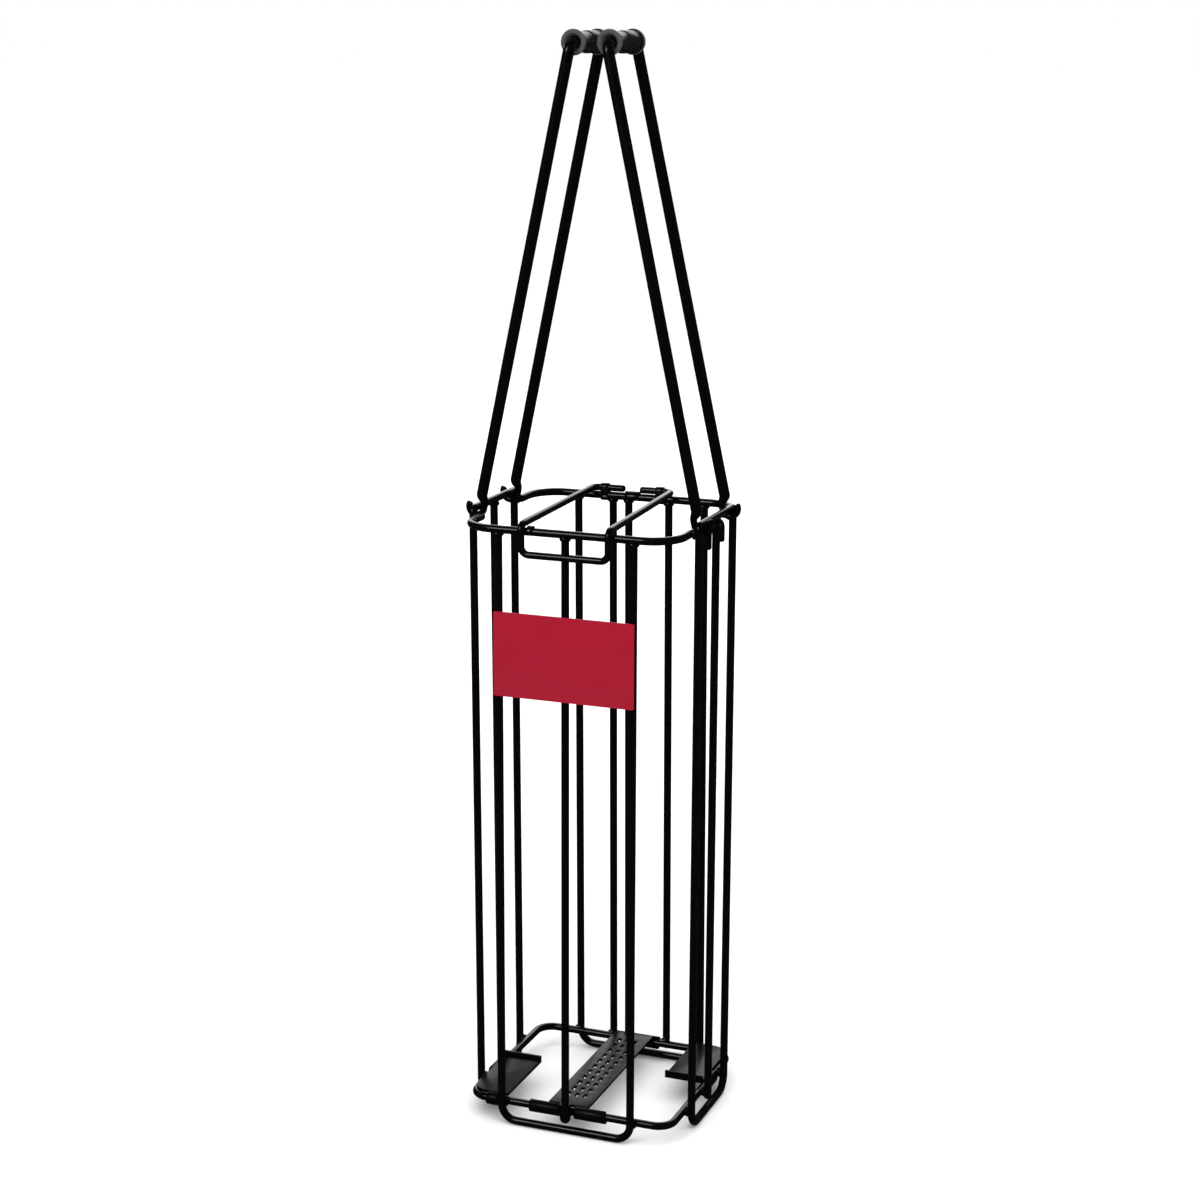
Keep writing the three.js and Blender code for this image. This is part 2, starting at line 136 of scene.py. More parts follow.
def pick_place(piece, place):
    """Selects the vertices at one place."""
    return pick(piece, "verts", lambda vert: (vert.co - Vector(place)).length < NEAR)


def copied(piece, name):
    """A copy of a piece with a mesh of its own."""
    take(piece)
    bpy.ops.object.duplicate(linked=False)
    twin = bpy.context.object
    twin.name = twin.data.name = name
    return twin


def place_in_mesh():
    """Moves the selected object's place, turn and scale into its mesh."""
    bpy.ops.object.transform_apply(location=True, rotation=True, scale=True)


# %% [markdown]
# ## A wire's centre line
# A bent wire starts as a chain of edges through its corners. A plane is merged to one vertex, the vertex
# is extruded from corner to corner, and a vertex bevel rounds each corner to its own bend radius.

# %% Draw a line
START_SIZE = 0.01
BEND_STEPS = 10


def corner_turn(before, corner, after):
    """How far a line turns at a corner, in radians."""
    return (corner - before).angle(after - corner)


def draw_line(name, corners, bends=0.0, closed=False):
    """An edge chain through corners. bends is one radius for all corners, or one for each."""
    corners = [Vector(corner) for corner in corners]
    drop_all()
    bpy.ops.mesh.primitive_plane_add(size=START_SIZE, location=corners[0])
    piece = bpy.context.object
    piece.name = piece.data.name = name
    place_in_mesh()
    edit(piece)
    bpy.ops.mesh.select_mode(type="VERT")
    bpy.ops.mesh.select_all(action="SELECT")
    bpy.ops.mesh.merge(type="CENTER")
    for here, there in zip(corners, corners[1:]):
        bpy.ops.mesh.extrude_vertices_move(TRANSFORM_OT_translate={"value": there - here})
    if closed:
        ends = (corners[0], corners[-1])
        pick(piece, "verts", lambda vert: any((vert.co - end).length < NEAR for end in ends))
        bpy.ops.mesh.edge_face_add()
    count = len(corners)
    for index in range(count) if closed else range(1, count - 1):
        bend = bends[index] if isinstance(bends, (list, tuple)) else bends
        if not bend:
            continue
        before, corner, after = corners[index - 1], corners[index], corners[(index + 1) % count]
        offset = bend * math.tan(corner_turn(before, corner, after) / 2)
        pick_place(piece, corner)
        bpy.ops.mesh.bevel(offset_type="OFFSET", offset=offset, segments=BEND_STEPS, affect="VERTICES")
    drop_all()
    return piece


def arc(centre, radius, start, end, steps):
    """Places on an arc in a plane, as pairs, with the angles in degrees."""
    angles = [math.radians(start + (end - start) * step / steps) for step in range(steps + 1)]
    across, up = centre
    return [(across + radius * math.cos(angle), up + radius * math.sin(angle)) for angle in angles]


# %% [markdown]
# ## From a line to a round wire
# The line becomes a curve, and the curve's bevel gives it a round section, as a die gives it to real wire.
# Cut ends are filled and their rims bevelled, because the coating rounds every cut end over.

# %% Round wires
WIRE_SIDES = 10
SMOOTH_ANGLE = math.radians(40)
END_SHARE = 0.7
BUTT_END_SHARE = 0.1
END_STEPS = 5


def tidy_surface(piece, smooth=True):
    """Merges doubles, turns the faces outward and smooths all but the sharp edges."""
    edit(piece)
    bpy.ops.mesh.select_all(action="SELECT")
    bpy.ops.mesh.remove_doubles(threshold=DOUBLES)
    bpy.ops.mesh.normals_make_consistent(inside=False)
    take(piece)
    if smooth:
        bpy.ops.object.shade_smooth_by_angle(angle=SMOOTH_ANGLE)
    return piece


def round_wire(piece, radius, narrowing=None, end_share=END_SHARE, sides=WIRE_SIDES):
    """A round rod along an edge chain. narrowing gives the share of the radius at a place."""
    take(piece)
    bpy.ops.object.convert(target="CURVE")
    rod = bpy.context.object
    rod.data.bevel_depth = radius
    rod.data.bevel_resolution = sides
    if narrowing:
        for spline in rod.data.splines:
            for point in spline.points:
                point.radius = narrowing(Vector(point.co[:3]))
    bpy.ops.object.convert(target="MESH")
    rod = bpy.context.object
    edit(rod)
    open_ends = pick(rod, "edges", lambda edge: edge.is_boundary)
    if open_ends:
        bpy.ops.mesh.fill_holes(sides=0)
        pick(rod, "faces", lambda face: len(face.verts) > 4)
        bpy.ops.mesh.bevel(offset=radius * end_share, segments=END_STEPS, affect="EDGES")
    return tidy_surface(rod)


# %% [markdown]
# ## What stands for what
# Each finished piece rides on its body, takes its material slot and replaces its CAD node.
# The finishes themselves come at the end and go to all the pieces of a slot at once.

# %% Settle a piece
finished = {"coated_wire": [], "grip_plastic": [], "floor_plastic": [], "crimson_plate": []}


def settle(piece, slot, body="basket", *nodes):
    """Rides, slots and replaces, and keeps the piece for its finish."""
    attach(piece, body)
    if nodes:
        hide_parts(*nodes)
    finished[slot].append(piece)
    print(piece.name, len(piece.data.polygons), "faces, rides on", body)
    return piece


# %% [markdown]
# ## The walls
# The front and rear walls are U-shaped wires that stand outside the bottom ring and end under the rims.
# All walls lean a little, so one function gives a wall's depth at any height, and every wire asks it.

# %% Wall places
def wall_depth(top, foot, height):
    """A wall's distance from the middle at a height."""
    return foot + (top - foot) * (height - ring_height) / (rim_height - ring_height)


def end_wall(sign, along, height):
    """A place on the front wall (sign -1) or the rear wall (sign 1)."""
    return (along, sign * wall_depth(RIM_HALF_Y, wall_foot_y, height), height)


def side_wall(sign, along, height):
    """A place on the left wall (sign -1) or the right wall (sign 1)."""
    return (sign * wall_depth(FRAME_TOP_X, wall_foot_x, height), along, height)


# %% Front and rear U wires
FRONT_LEG_HALF = 0.044
REAR_LEG_HALF = 0.0434
REAR_SHIFT = 0.0017

for name, sign, half, shift in (
    ("front_u_wire", -1, FRONT_LEG_HALF, 0.0),
    ("rear_u_wire", 1, REAR_LEG_HALF, REAR_SHIFT),
):
    stops = (
        end_wall(sign, shift - half, leg_top),
        end_wall(sign, shift - half, WIRE_RADIUS),
        end_wall(sign, shift + half, WIRE_RADIUS),
        end_wall(sign, shift + half, leg_top),
    )
    line = draw_line(name + "_piece", stops, FLOOR_BEND)
    settle(round_wire(line, WIRE_RADIUS, end_share=BUTT_END_SHARE), "coated_wire", "basket", name)

# %% [markdown]
# ## Side frames
# Each side is one closed loop: two legs, a run on the floor and a run on top that carries a handle.
# It is drawn closed, so its welded joint disappears as it does under the coating.

# %% Side frames
for name, sign in (("left_side_frame", -1), ("right_side_frame", 1)):
    stops = (
        side_wall(sign, -SIDE_LEG_HALF, frame_top),
        side_wall(sign, -SIDE_LEG_HALF, WIRE_RADIUS),
        side_wall(sign, SIDE_LEG_HALF, WIRE_RADIUS),
        side_wall(sign, SIDE_LEG_HALF, frame_top),
    )
    bends = [FRAME_TOP_BEND, FLOOR_BEND, FLOOR_BEND, FRAME_TOP_BEND]
    line = draw_line(name + "_piece", stops, bends, closed=True)
    settle(round_wire(line, WIRE_RADIUS), "coated_wire", "basket", name)

# %% [markdown]
# ## Rims and bottom ring
# Each rim is a C of wire whose cut ends lie against the side frames' legs. The bottom ring is a closed
# rounded rectangle that all the wall wires stand around.

# %% Rims and ring
rim_end = SIDE_LEG_HALF - WIRE_RADIUS
for name, sign in (("front_rim", -1), ("rear_rim", 1)):
    stops = (
        (-rim_half_x, sign * rim_end, rim_height),
        (-rim_half_x, sign * RIM_HALF_Y, rim_height),
        (rim_half_x, sign * RIM_HALF_Y, rim_height),
        (rim_half_x, sign * rim_end, rim_height),
    )
    line = draw_line(name + "_piece", stops, RIM_CORNER)
    settle(round_wire(line, WIRE_RADIUS), "coated_wire", "basket", name)

stops = [
    (x, y, ring_height)
    for x, y in (
        (RING_HALF_X, -RING_HALF_Y),
        (RING_HALF_X, RING_HALF_Y),
        (-RING_HALF_X, RING_HALF_Y),
        (-RING_HALF_X, -RING_HALF_Y),
    )
]
line = draw_line("bottom_ring_piece", stops, RING_CORNER, closed=True)
settle(round_wire(line, WIRE_RADIUS), "coated_wire", "basket", "bottom_ring")

# %% [markdown]
# ## Upright wires
# Straight wires divide the walls into narrow gaps. Both their ends are rounded over. The tops are
# welded under the rims or the side frames, and the feet end free just below the bottom ring.

# %% Upright wires
REAR_INNER_HALF = 0.0192
REAR_CENTRE_PLACE = -0.0067
BRACKET_DROP = 0.0113
under_frame = frame_top - WIRE_RADIUS - SEAT
bracket_top = under_frame - BRACKET_RADIUS
low_end = ring_height - WIRE_RADIUS
uprights = (
    ("front_centre_wire", end_wall, -1, 0.0, leg_top),
    ("rear_centre_wire", end_wall, 1, REAR_CENTRE_PLACE, leg_top),
    ("rear_inner_wire_left", end_wall, 1, REAR_SHIFT - REAR_INNER_HALF, leg_top),
    ("rear_inner_wire_right", end_wall, 1, REAR_SHIFT + REAR_INNER_HALF, leg_top),
    ("left_centre_wire", side_wall, -1, 0.0, under_frame),
    ("right_centre_wire", side_wall, 1, 0.0, bracket_top - BRACKET_RADIUS - SEAT),
)
for name, wall, sign, along, top in uprights:
    line = draw_line(name + "_piece", (wall(sign, along, top), wall(sign, along, low_end - WIRE_RADIUS)))
    settle(round_wire(line, WIRE_RADIUS), "coated_wire", "basket", name)

# %% [markdown]
# ## Bracket
# A small inverted U under the right side frame leaves two free prongs that the hopper can hang by.

# %% Bracket
BRACKET_SPAN = 0.025
BRACKET_SHIFT = -0.002
BRACKET_BEND = 0.005
bracket_near = BRACKET_SHIFT - BRACKET_SPAN / 2
bracket_far = BRACKET_SHIFT + BRACKET_SPAN / 2
prong_end = bracket_top - BRACKET_DROP - BRACKET_RADIUS
stops = (
    side_wall(1, bracket_near, prong_end),
    side_wall(1, bracket_near, bracket_top),
    side_wall(1, bracket_far, bracket_top),
    side_wall(1, bracket_far, prong_end),
)
line = draw_line("right_bracket_piece", stops, BRACKET_BEND)
settle(round_wire(line, BRACKET_RADIUS), "coated_wire", "basket", "right_bracket")

# %% [markdown]
# ## Handles
# A handle is one thick rod bent into a long hairpin. Its ends are drawn thin through a short neck and
# curl from the inside under the side frame's top run. The handle is drawn upright round its pivot, then
# leaned into place.

# %% Handle sizes
HANDLE_HALF = 0.0245
EYE_INSET = 0.0056
EYE_PLACE = SIDE_LEG_HALF - EYE_INSET
HANDLE_BEND = 0.0065
EYE_THICK = 0.0044
EYE_WRAP = 205
EYE_STEPS = 22
EYE_END_SHARE = 0.4
ROD_INSET = 0.002
NECK_TOP = 0.009
NECK_FOOT_SHARE = 0.35
NECK_FOOT = NECK_TOP * NECK_FOOT_SHARE
NECK_STEPS = 8
eye_radius = WIRE_RADIUS + SEAT + EYE_THICK / 2
pivot_x = wall_depth(FRAME_TOP_X, wall_foot_x, frame_top)
grip_x = middle("right_grip", 0)
grip_z = middle("right_grip", 2)
spread, rise = pivot_x - grip_x, grip_z - frame_top
reach = math.sqrt(spread ** 2 + rise ** 2 - ROD_INSET ** 2)
lean = math.atan2(spread, rise) - math.atan2(ROD_INSET, reach)
print("handle reach", round(reach, 4), "lean", round(math.degrees(lean), 2), "degrees")


# %% Draw and place a handle
def neck_ease(height):
    """0 at the top of the neck, 1 at its foot, and eased at both."""
    share = min(max((NECK_TOP - height) / (NECK_TOP - NECK_FOOT), 0.0), 1.0)
    return (1 - math.cos(math.pi * share)) / 2


def eye_share(place):
    """The rod's share of its radius: full on the legs, drawn thin through the neck into the curl."""
    ease = 1.0 if place.x > 0 else neck_ease(place.z)
    return 1 + (EYE_THICK / HANDLE_ROD - 1) * ease


def eye_side(along):
    """The corners of one leg's end, from the curl's free tip up to the top of the neck."""
    curl = arc((0.0, 0.0), eye_radius, -EYE_WRAP, 0, EYE_STEPS)
    places = [(-across, along, up) for across, up in curl]
    for step in range(NECK_STEPS):
        up = NECK_FOOT + (NECK_TOP - NECK_FOOT) * step / NECK_STEPS
        places.append((-ROD_INSET - (eye_radius - ROD_INSET) * neck_ease(up), along, up))
    return places


def handle(name):
    """One handle, upright, with its pivot at the origin."""
    near, far = eye_side(-EYE_PLACE), eye_side(EYE_PLACE)
    hairpin = [
        (-ROD_INSET, -EYE_PLACE, NECK_TOP),
        (-ROD_INSET, -HANDLE_HALF, reach),
        (-ROD_INSET, HANDLE_HALF, reach),
        (-ROD_INSET, EYE_PLACE, NECK_TOP),
    ]
    straight = [0.0] * len(near)
    bends = straight + [0.0, HANDLE_BEND, HANDLE_BEND, 0.0] + straight
    line = draw_line(name, near + hairpin + far[::-1], bends)
    return round_wire(line, ROD_RADIUS, eye_share, end_share=EYE_END_SHARE)


rods = {"left": handle("left_handle_piece")}
rods["right"] = copied(rods["left"], "right_handle_piece")
for side, sign in (("left", -1), ("right", 1)):
    rod = take(rods[side])
    rod.rotation_euler = (0.0, -lean, 0.0 if sign > 0 else math.pi)
    rod.location = (sign * pivot_x, 0.0, frame_top)
    place_in_mesh()
    settle(rod, "coated_wire", side + "_handle", side + "_handle")

# %% [markdown]
# ## Grips
# Each grip is a moulded sleeve that turns on the handle's crossbar, with a flange, a groove and a disc.
# Half its outline is drawn once and spun round the bar, then every edge is softened as a mould would.

# %% Grips
GRIP_LENGTH = 0.041
FLANGE_RADIUS = 0.00775
FLANGE_THICK = 0.0024
DISC_RADIUS = 0.0071
DISC_THICK = 0.0016
GROOVE_RADIUS = 0.0055
GROOVE_WIDE = 0.0015
FRONT_RADIUS = 0.0062
REAR_RADIUS = 0.0068
MOUTH_RADIUS = 0.0054
MOUTH_DEPTH = 0.0026
BORE_RADIUS = ROD_RADIUS + SEAT
GRIP_STEPS = 64
GRIP_EDGE = 0.0003


def grip(name):
    """A sleeve round the Y axis, centred on the origin."""
    half = GRIP_LENGTH / 2
    step_in = FLANGE_THICK + GROOVE_WIDE
    outline = (
        (BORE_RADIUS, -half + MOUTH_DEPTH),
        (MOUTH_RADIUS, -half),
        (FLANGE_RADIUS, -half),
        (FLANGE_RADIUS, -half + FLANGE_THICK),
        (GROOVE_RADIUS, -half + FLANGE_THICK),
        (GROOVE_RADIUS, -half + step_in),
        (DISC_RADIUS, -half + step_in),
        (DISC_RADIUS, -half + step_in + DISC_THICK),
        (FRONT_RADIUS, -half + step_in + DISC_THICK),
        (FRONT_RADIUS, 0.0),
        (REAR_RADIUS, 0.0),
        (REAR_RADIUS, half - step_in),
        (GROOVE_RADIUS, half - step_in),
        (GROOVE_RADIUS, half - FLANGE_THICK),
        (FLANGE_RADIUS, half - FLANGE_THICK),
        (FLANGE_RADIUS, half),
        (MOUTH_RADIUS, half),
        (BORE_RADIUS, half - MOUTH_DEPTH),
    )
    piece = draw_line(name, [(radius, along, 0.0) for radius, along in outline], closed=True)
    edit(piece)
    bpy.ops.mesh.select_all(action="SELECT")
    bpy.ops.mesh.spin(steps=GRIP_STEPS, angle=2 * math.pi, center=(0, 0, 0), axis=(0, 1, 0))
    bpy.ops.mesh.select_all(action="SELECT")
    bpy.ops.mesh.remove_doubles(threshold=NEAR)
    bpy.ops.mesh.normals_make_consistent(inside=False)
    return soften(piece, GRIP_EDGE)


def soften(piece, width, steps=3, angle=30):
    """Rounds all edges sharper than an angle with an applied Bevel."""
    take(piece)
    bevel = piece.modifiers.new("Soft edges", "BEVEL")
    bevel.width = width
    bevel.segments = steps
    bevel.limit_method = "ANGLE"
    bevel.angle_limit = math.radians(angle)
    bpy.ops.object.modifier_apply(modifier=bevel.name)
    return tidy_surface(piece)


sleeves = {"left": grip("left_grip_piece")}
sleeves["right"] = copied(sleeves["left"], "right_grip_piece")
for side, sign in (("left", -1), ("right", 1)):
    sleeve = take(sleeves[side])
    sleeve.location = (sign * grip_x, 0.0, grip_z)
    place_in_mesh()
    settle(sleeve, "grip_plastic", side + "_grip", side + "_grip")

# %% [markdown]
# ## Lid
# The lid is one thinner wire. Its two bars lie across the rims, join in a pull that hangs in front,
# and turn inwards at the back, where two clips hold them and let them turn.

# %% Lid wire
LID_REAR_CENTRE = -0.004
LID_REAR_HALF = 0.027
LID_FRONT_CENTRE = 0.0014
LID_FRONT_HALF = 0.0283
LID_BEND = 0.005
PULL_BEND = 0.005
PULL_DROP = 0.0133
SADDLE_LENGTH = 0.0096
lid_level = rim_height + WIRE_RADIUS + SEAT + LID_RADIUS
pull_depth = RIM_HALF_Y + WIRE_RADIUS + SEAT + LID_RADIUS
rear_end = SADDLE_LENGTH / 2 + SEAT


def lid_side(sign):
    """One half of the lid's corners, from its rear end to the pull."""
    front = LID_FRONT_CENTRE + sign * LID_FRONT_HALF
    return [
        (LID_REAR_CENTRE + sign * rear_end, RIM_HALF_Y, lid_level),
        (LID_REAR_CENTRE + sign * LID_REAR_HALF, RIM_HALF_Y, lid_level),
        (front, -pull_depth, lid_level),
        (front, -pull_depth, rim_height - PULL_DROP),
    ]


bends = [0.0, LID_BEND, LID_WIRE, PULL_BEND]
line = draw_line("lid_wire_piece", lid_side(1) + lid_side(-1)[::-1], bends + bends[::-1])
settle(round_wire(line, LID_RADIUS), "coated_wire", "lid", "lid_wire")

# %% [markdown]
# ## Clips, keeper and stop
# These are bent from thin strip. A line in the plane across the rim is extruded along the rim, Solidify
# gives the strip its thickness and a small bevel softens its cut edges. A clip hugs the rim below and
# the lid's thinner wire above, round the line that the lid turns about.

# %% A bent strap
STRAP_EDGE = 0.00025
STRAP_ANGLE = 50
ARC_STEPS = 16


def strap(name, places, centre, width, thickness, closed=False):
    """A strip bent along a line of (y, z) places and centred along X."""
    left = centre - width / 2
    piece = draw_line(name, [(left, y, z) for y, z in places], closed=closed)
    edit(piece)
    bpy.ops.mesh.select_all(action="SELECT")
    bpy.ops.mesh.extrude_edges_move(TRANSFORM_OT_translate={"value": (width, 0.0, 0.0)})
    take(piece)
    wall = piece.modifiers.new("Strip thickness", "SOLIDIFY")
    wall.thickness = thickness
    wall.offset = 0.0
    bpy.ops.object.modifier_apply(modifier=wall.name)
    tidy_surface(piece, smooth=False)
    return soften(piece, STRAP_EDGE, steps=2, angle=STRAP_ANGLE)


# %% Lid clips
CLIP_LENGTH = 0.005
CLIP_THICK = 0.0006
CLIP_INSET = 0.0006
clip_place = LID_REAR_HALF - LID_BEND - CLIP_INSET - CLIP_LENGTH / 2
clip_low_radius = WIRE_RADIUS + SEAT + CLIP_THICK / 2
clip_high_radius = LID_RADIUS + SEAT / 2 + CLIP_THICK / 2

for side, sign in (("left", -1), ("right", 1)):
    lower = arc((RIM_HALF_Y, rim_height), clip_low_radius, 180, 360, ARC_STEPS)
    upper = arc((RIM_HALF_Y, lid_level), clip_high_radius, 0, 180, ARC_STEPS)
    centre = LID_REAR_CENTRE + sign * clip_place
    name = side + "_lid_clip"
    clip = strap(name + "_piece", lower + upper, centre, CLIP_LENGTH, CLIP_THICK, closed=True)
    settle(clip, "coated_wire", "basket", name)

# %% Keeper and stop
SADDLE_THICK = 0.001
SADDLE_WRAP = 230
STOP_LENGTH = 0.0036
saddle_radius = WIRE_RADIUS + SEAT + SADDLE_THICK / 2
stop_place = LID_FRONT_CENTRE - LID_FRONT_HALF + LID_RADIUS + SEAT + STOP_LENGTH / 2

for name, centre, depth, length in (
    ("lid_keeper", LID_REAR_CENTRE, RIM_HALF_Y, SADDLE_LENGTH),
    ("lid_stop", stop_place, -RIM_HALF_Y, STOP_LENGTH),
):
    bow = arc((depth, rim_height), saddle_radius, 90 - SADDLE_WRAP / 2, 90 + SADDLE_WRAP / 2, ARC_STEPS)
    settle(strap(name + "_piece", bow, centre, length, SADDLE_THICK), "coated_wire", "basket", name)

# %% [markdown]
# ## Floor strip
# A moulded strip lies across the bottom ring and its tabs hook round the ring. The sheet is a plane cut
# by bisecting along both sides of every slot, and the small faces inside the slots are deleted.

# %% Floor sizes
STRIP_WIDTH = 0.027
PANEL_THICK = 0.002
TAB_THICK = 0.0015
TAB_NEAR = 0.005
TAB_FAR = 0.026
TAB_CLEARANCE = 0.001
TAB_WRAP = 200
SLOT_LONG = 0.005
SLOT_WIDE = 0.0022
SLOT_PITCH_X = 0.0056
SLOT_PITCH_Y = 0.009
SLOT_MARGIN = 0.011
PANEL_EDGE = 0.0004
panel_middle = ring_height + WIRE_RADIUS + SEAT + PANEL_THICK / 2
tab_radius = WIRE_RADIUS + SEAT + TAB_THICK / 2


# %% Tabs and sheets
def cut(place, normal):
    """Cuts all of the open sheet along one plane and keeps both sides."""
    bpy.ops.mesh.select_all(action="SELECT")
    bpy.ops.mesh.bisect(plane_co=place, plane_no=normal)


def tab(name, centre, sign, low, high):
    """A hooked tab round the front (sign -1) or rear (sign 1) run of the bottom ring."""
    bow = arc((sign * centre, ring_height), tab_radius, 90, 90 - sign * TAB_WRAP, ARC_STEPS)
    return strap(name, bow, (low + high) / 2, high - low, TAB_THICK)


def thicken(piece, thickness):
    """Gives a flat sheet its thickness, half to each side."""
    take(piece)
    wall = piece.modifiers.new("Sheet thickness", "SOLIDIFY")
    wall.thickness = thickness
    wall.offset = 0.0
    wall.use_even_offset = True
    bpy.ops.object.modifier_apply(modifier=wall.name)
    return tidy_surface(piece, smooth=False)


def join(piece, *others):
    """Joins objects into the first."""
    take(piece)
    for other in others:
        other.select_set(True)
    bpy.ops.object.join()
    return piece


# %% Slotted strip
rows = math.floor((2 * (RING_HALF_Y - SLOT_MARGIN) - SLOT_LONG) / SLOT_PITCH_Y)
slot_xs = [column * SLOT_PITCH_X for column in (-1, 0, 1)]
slot_ys = [(row - rows / 2) * SLOT_PITCH_Y for row in range(rows + 1)]

drop_all()
bpy.ops.mesh.primitive_plane_add(size=1.0, location=(0.0, 0.0, panel_middle))
strip = bpy.context.object
strip.name = strip.data.name = "centre_floor_strip_piece"
strip.scale = (STRIP_WIDTH, 2 * RING_HALF_Y, 1.0)
place_in_mesh()
edit(strip)
for x in slot_xs:
    for edge in (-SLOT_WIDE / 2, SLOT_WIDE / 2):
        cut((x + edge, 0.0, 0.0), (1, 0, 0))
for y in slot_ys:
    for edge in (-SLOT_LONG / 2, SLOT_LONG / 2):
        cut((0.0, y + edge, 0.0), (0, 1, 0))


def in_slot(face):
    """Whether a face's middle lies in one of the slots."""
    middle_place = face.calc_center_median()
    across = any(abs(middle_place.x - x) < SLOT_WIDE / 2 for x in slot_xs)
    return across and any(abs(middle_place.y - y) < SLOT_LONG / 2 for y in slot_ys)


print("slots", pick(strip, "faces", in_slot))
bpy.ops.mesh.delete(type="FACE")
strip = soften(thicken(strip, PANEL_THICK), PANEL_EDGE, steps=2)

# %% Strip tabs
clear = WIRE_RADIUS + TAB_CLEARANCE
tabs = [
    tab("strip_tab", RING_HALF_Y, -1, -TAB_FAR, -TAB_NEAR),
    tab("strip_tab", RING_HALF_Y, -1, TAB_NEAR, TAB_FAR),
    tab("strip_tab", RING_HALF_Y, 1, REAR_CENTRE_PLACE + clear, REAR_SHIFT + REAR_INNER_HALF - clear),
]
strip = join(strip, *tabs)
settle(strip, "floor_plastic", "basket", "centre_floor_strip")

# %% [markdown]
# ## Foot sleeve
# The front centre wire ends in a short moulded sleeve, a little wider than the wire and round at its
# foot. It is a profile spun round the wire.

# %% Foot sleeve
SLEEVE_WALL = 0.0009
SLEEVE_LENGTH = 0.013
SLEEVE_TURNS = 32
BOWL_STEPS = 6
sleeve_inner = WIRE_RADIUS + SEAT / 3
sleeve_outer = sleeve_inner + SLEEVE_WALL
foot_low = low_end - WIRE_RADIUS - SLEEVE_WALL
foot_y = end_wall(-1, 0.0, low_end)[1]
bowl = arc((0.0, foot_low + sleeve_outer), sleeve_outer, -90, 0, BOWL_STEPS)
profile = bowl + [(sleeve_outer, foot_low + SLEEVE_LENGTH), (sleeve_inner, foot_low + SLEEVE_LENGTH)]
foot = draw_line("front_foot_sleeve", [(across, foot_y, up) for across, up in profile])
edit(foot)
bpy.ops.mesh.select_all(action="SELECT")
bpy.ops.mesh.spin(steps=SLEEVE_TURNS, angle=2 * math.pi, center=(0, foot_y, 0), axis=(0, 0, 1))
bpy.ops.mesh.select_all(action="SELECT")
bpy.ops.mesh.remove_doubles(threshold=NEAR)
pick(foot, "edges", lambda edge: edge.is_boundary)
bpy.ops.mesh.fill_holes(sides=0)
settle(soften(foot, SLEEVE_WALL / 3, angle=STRAP_ANGLE), "floor_plastic", "basket")

# %% [markdown]
# ## Floor wings
# Two corner panels close the rear right and the front left of the floor and leave the rest open.
# Each is a flat outline with one rounded corner and a lip turned up along its free edge.

# %% Wings
WING_WIDTH = 0.026
WING_FRONT = 0.004
WING_RIB = 0.003
SIDE_TAB = 0.014
SIDE_TAB_PLACE = 0.016
REAR_TAB = 0.008
REAR_TAB_INSET = 0.016


def wing(name):
    """The rear right corner panel."""
    inner = RING_HALF_X - WING_WIDTH
    lip = WING_FRONT + PANEL_THICK / 2
    outline = [
        (inner, lip, panel_middle),
        (RING_HALF_X, lip, panel_middle),
        (RING_HALF_X, RING_HALF_Y, panel_middle),
        (inner, RING_HALF_Y, panel_middle),
    ]
    panel = draw_line(name, outline, [0.0, 0.0, RING_CORNER, 0.0], closed=True)
    edit(panel)
    bpy.ops.mesh.select_all(action="SELECT")
    bpy.ops.mesh.edge_face_add()
    pick(panel, "edges", lambda edge: all(abs(vert.co.y - lip) < NEAR for vert in edge.verts))
    lip_rise = PANEL_THICK / 2 + WING_RIB
    bpy.ops.mesh.extrude_edges_move(TRANSFORM_OT_translate={"value": (0.0, 0.0, lip_rise)})
    panel = soften(thicken(panel, PANEL_THICK), PANEL_EDGE, steps=2)
    rear_place = RING_HALF_X - REAR_TAB_INSET
    rear_tab = tab("wing_tab", RING_HALF_Y, 1, rear_place - REAR_TAB / 2, rear_place + REAR_TAB / 2)
    side_low, side_high = SIDE_TAB_PLACE - SIDE_TAB / 2, SIDE_TAB_PLACE + SIDE_TAB / 2
    side_tab = take(tab("wing_tab", RING_HALF_X, 1, side_low, side_high))
    side_tab.rotation_euler = (0.0, 0.0, -math.pi / 2)
    side_tab.location = (0.0, 2 * SIDE_TAB_PLACE, 0.0)
    place_in_mesh()
    return join(panel, rear_tab, side_tab)


right_wing = wing("right_floor_wing_piece")
left_wing = copied(right_wing, "left_floor_wing_piece")
settle(right_wing, "floor_plastic", "basket", "right_floor_wing")
take(left_wing)
left_wing.rotation_euler = (0.0, 0.0, math.pi)
place_in_mesh()
settle(left_wing, "floor_plastic", "basket", "left_floor_wing")

# %% [markdown]
# ## Front plate
# A bare crimson plate lies against the front wires, leaning as they lean. It is a filled outline
# with tight corners, thickened away from the wires.

# %% Plate
PLATE_OVERHANG = 0.002
PLATE_HEIGHT = 0.0532
PLATE_DROP = 0.0505
PLATE_THICK = 0.0015
PLATE_CORNER = 0.001
PLATE_EDGE = 0.0002
plate_x = FRONT_LEG_HALF + PLATE_OVERHANG
plate_top = rim_height - PLATE_DROP
plate_stand = WIRE_RADIUS + SEAT + PLATE_THICK / 2


def plate_place(x, height):
    """A place on the plate's middle sheet."""
    along, depth, up = end_wall(-1, x, height)
    return (along, depth - plate_stand, up)


